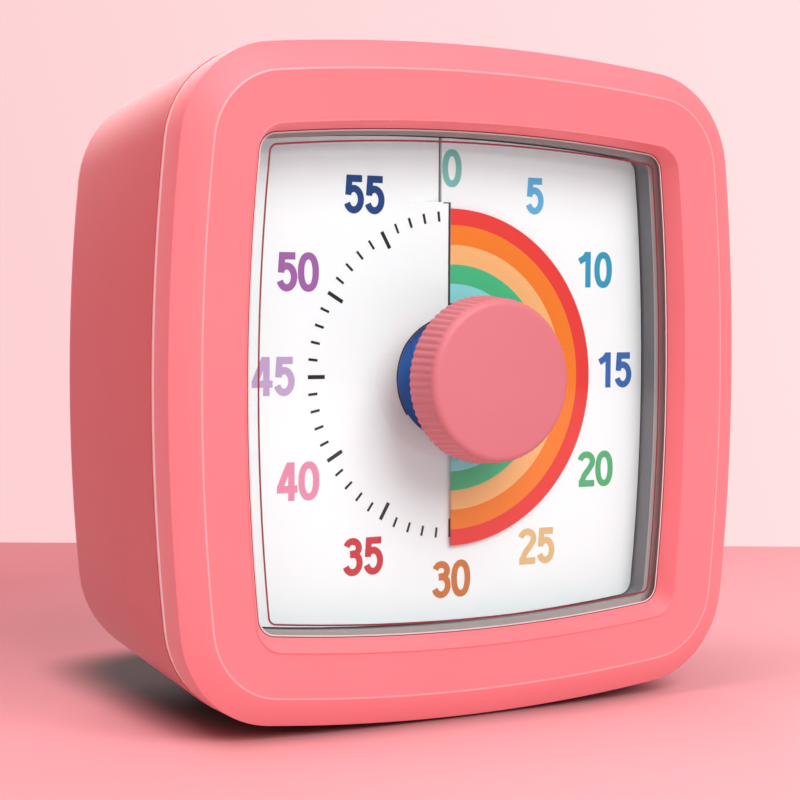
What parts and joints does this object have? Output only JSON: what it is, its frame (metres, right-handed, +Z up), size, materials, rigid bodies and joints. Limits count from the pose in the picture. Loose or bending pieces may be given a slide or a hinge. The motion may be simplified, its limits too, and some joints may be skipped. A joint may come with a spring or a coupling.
{
  "type": "visual countdown timer",
  "caption": "Pink desk timer with a clear window, a striped disc that shows the time left on a sixty-minute dial, and a ribbed knob.",
  "frame": {"origin": "middle of the footprint, on the surface that the feet stand on", "axes": "+X to the right as seen from the front, +Y from the dial towards the back, +Z up"},
  "size_m": [0.078, 0.043, 0.0783],
  "materials": {
    "bezel_pink": "satin moulded ABS",
    "shell_pink": "satin moulded ABS",
    "knob_pink": "satin moulded ABS with a fine grain",
    "clear_window": "clear moulded plastic, polished",
    "grey_white_plastic": "matt moulded ABS",
    "white_plastic": "matt, printed in black and colours on the dial",
    "blue_plastic": "matt moulded",
    "printed_sheet": "matt printed sheet with concentric colour bands",
    "spring_brass": "stamped spring brass",
    "gear_plastic": "moulded acetal",
    "foot_rubber": "matt rubber",
    "zinc_steel": "zinc plated",
    "bright_steel": "nickel plated",
    "ferrite": "sintered ferrite",
    "stator_iron": "stamped soft iron",
    "green_plastic": "moulded nylon",
    "copper_wire": "enamelled copper",
    "board_green": "solder mask on a fibreglass board",
    "black_resin": "potting resin",
    "black_plastic": "moulded ABS",
    "cell_can": "plain wrapped steel can"
  },
  "bodies": {
    "housing": {"front_bezel": "bezel_pink", "lens": "clear_window", "inner_frame": "grey_white_plastic", "dial_plate": "white_plastic", "rear_shell": "shell_pink", "feet": "foot_rubber", "housing_screws": "zinc_steel", "bezel_screws": "zinc_steel", "movement_screws": "zinc_steel", "movement_front": "grey_white_plastic", "movement_back": "grey_white_plastic", "stator": "stator_iron", "coil_bobbin": "green_plastic", "coil_winding": "copper_wire", "circuit_board": "board_green", "board_screws": "zinc_steel", "quartz_crystal": "bright_steel", "timer_chip": "black_resin", "zero_contact": "spring_brass", "buzzer": "black_plastic", "switch_case": "black_plastic", "battery_cell": "cell_can", "contact_plus": "bright_steel", "contact_minus": "bright_steel", "battery_spring": "bright_steel"},
    "knob_and_disc": {"knob": "knob_pink", "output_shaft": "bright_steel", "disc_hub": "white_plastic", "disc_washer": "blue_plastic", "colour_disc": "printed_sheet", "clutch_spring": "spring_brass", "zero_cam": "gear_plastic"},
    "drive": {"drive_wheel": "gear_plastic"},
    "third": {"third_wheel": "gear_plastic"},
    "second": {"second_wheel": "gear_plastic"},
    "first": {"first_wheel": "gear_plastic"},
    "rotor": {"rotor_magnet": "ferrite", "rotor_pinion": "gear_plastic"},
    "volume_switch": {"volume_slider": "white_plastic", "switch_lever": "white_plastic"},
    "door": {"battery_door": "shell_pink"}
  },
  "joints": [
    {"name": "knob_turn", "type": "hinge", "parent": "housing", "child": "knob_and_disc", "pos_m": [0, -0.0169, 0.0397], "axis": [0, 1, 0], "range_deg": [-179, 179], "deforming": ["colour_disc"]},
    {"name": "drive_wheel_turn", "type": "hinge", "parent": "housing", "child": "drive", "pos_m": [0, 0.0031, 0.0397], "axis": [0, 1, 0], "continuous": true},
    {"name": "third_wheel_turn", "type": "hinge", "parent": "housing", "child": "third", "pos_m": [-0.01031, 0.0031, 0.04565], "axis": [0, 1, 0], "continuous": true},
    {"name": "second_wheel_turn", "type": "hinge", "parent": "housing", "child": "second", "pos_m": [-0.00712, 0.0031, 0.05353], "axis": [0, 1, 0], "continuous": true},
    {"name": "first_wheel_turn", "type": "hinge", "parent": "housing", "child": "first", "pos_m": [0.00008, 0.0031, 0.05353], "axis": [0, 1, 0], "continuous": true},
    {"name": "rotor_turn", "type": "hinge", "parent": "housing", "child": "rotor", "pos_m": [0.00508, 0.0031, 0.05353], "axis": [0, 1, 0], "continuous": true},
    {"name": "volume_slide", "type": "slide", "parent": "housing", "child": "volume_switch", "axis": [1, 0, 0], "range_m": [0, 0.003]},
    {"name": "door_swing", "type": "hinge", "parent": "housing", "child": "door", "pos_m": [0, 0.0203, 0.0082], "axis": [-1, 0, 0], "range_deg": [0, 100]}
  ],
  "couplings": [
    {"joint": "first_wheel_turn", "follows": "rotor_turn", "ratio": -0.25},
    {"joint": "second_wheel_turn", "follows": "rotor_turn", "ratio": 0.03125},
    {"joint": "third_wheel_turn", "follows": "rotor_turn", "ratio": -0.0041667},
    {"joint": "drive_wheel_turn", "follows": "rotor_turn", "ratio": 0.00055556}
  ]
}
